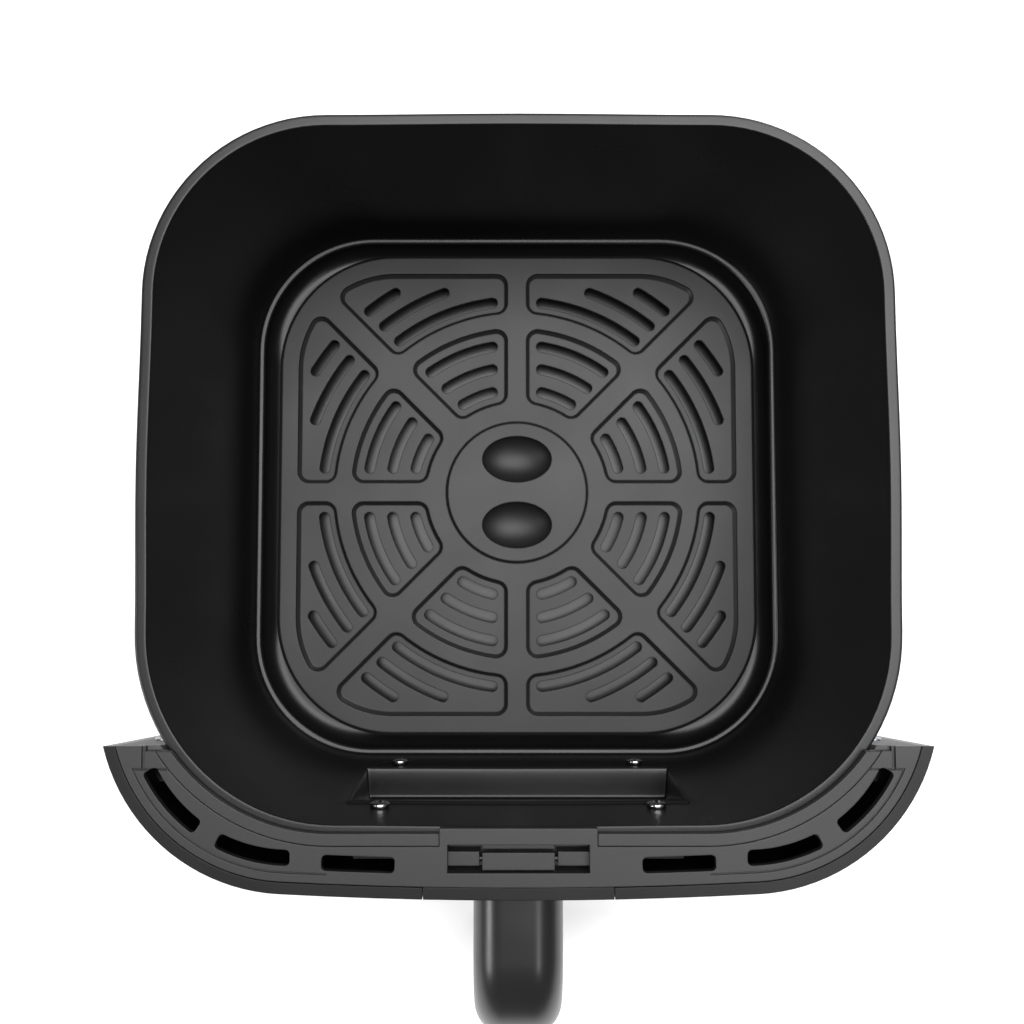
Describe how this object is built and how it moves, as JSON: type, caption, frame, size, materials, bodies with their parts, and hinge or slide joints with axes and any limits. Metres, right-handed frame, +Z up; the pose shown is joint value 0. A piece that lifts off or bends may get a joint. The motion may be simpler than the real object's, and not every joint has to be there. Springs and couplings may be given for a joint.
{
  "type": "air fryer drawer",
  "caption": "Square air fryer drawer: non-stick pan with a slotted lift-out grille, curved vented front, catch and down-turned handle.",
  "frame": {"origin": "middle of the pan's flat underside", "axes": "+Z up, out of the pan's mouth; -Y towards the handle; +X to the right as seen from the handle"},
  "size_m": [0.2696, 0.3213, 0.118],
  "materials": {
    "pan_coating": "satin non-stick coating on drawn steel",
    "plate_coating": "fine-grained non-stick coating on cast aluminium",
    "front_plastic": "satin, fine spark-eroded texture",
    "cover_plastic": "matte, fine texture",
    "liner_plastic": "matte, plain",
    "handle_plastic": "satin, fine texture",
    "silicone": "matte silicone",
    "black_steel": "black electro-coated steel sheet, satin",
    "screw_steel": "zinc-plated",
    "screw_chrome": "polished stainless"
  },
  "bodies": {
    "drawer": {"pan": "pan_coating", "front_shell": "front_plastic", "handle_base": "front_plastic", "top_cover": "cover_plastic", "rim_lips": "cover_plastic", "rear_cover": "liner_plastic", "bracket": "black_steel", "pan_seals": "silicone", "handle_inner_shell": "handle_plastic", "handle_outer_shell": "handle_plastic", "handle_end_cap": "handle_plastic", "handle_screws": "screw_steel", "handle_core": "black_steel", "catch_tray": "cover_plastic", "catch_pin": "black_steel", "catch_spring": "screw_steel", "pan_screws": "screw_chrome", "base_screws": "screw_steel", "shell_screws": "screw_steel", "rear_cover_screws": "screw_steel", "cover_screws": "screw_steel"},
    "catch": {"catch_lever": "cover_plastic"},
    "crisper": {"crisper_plate": "plate_coating", "crisper_foot_front_left": "silicone", "crisper_foot_front_right": "silicone", "crisper_foot_back_left": "silicone", "crisper_foot_back_right": "silicone"}
  },
  "joints": [
    {"name": "catch_hinge", "type": "hinge", "parent": "drawer", "child": "catch", "pos_m": [0, -0.1278, 0.1126], "axis": [1, 0, 0], "range_deg": [-12, 0], "stiffness_Nm_per_rad": 0.02, "springref_deg": 6.88},
    {"name": "grille_lift", "type": "slide", "parent": "drawer", "child": "crisper", "axis": [0, 0, 1], "range_m": [0, 0.15]}
  ]
}
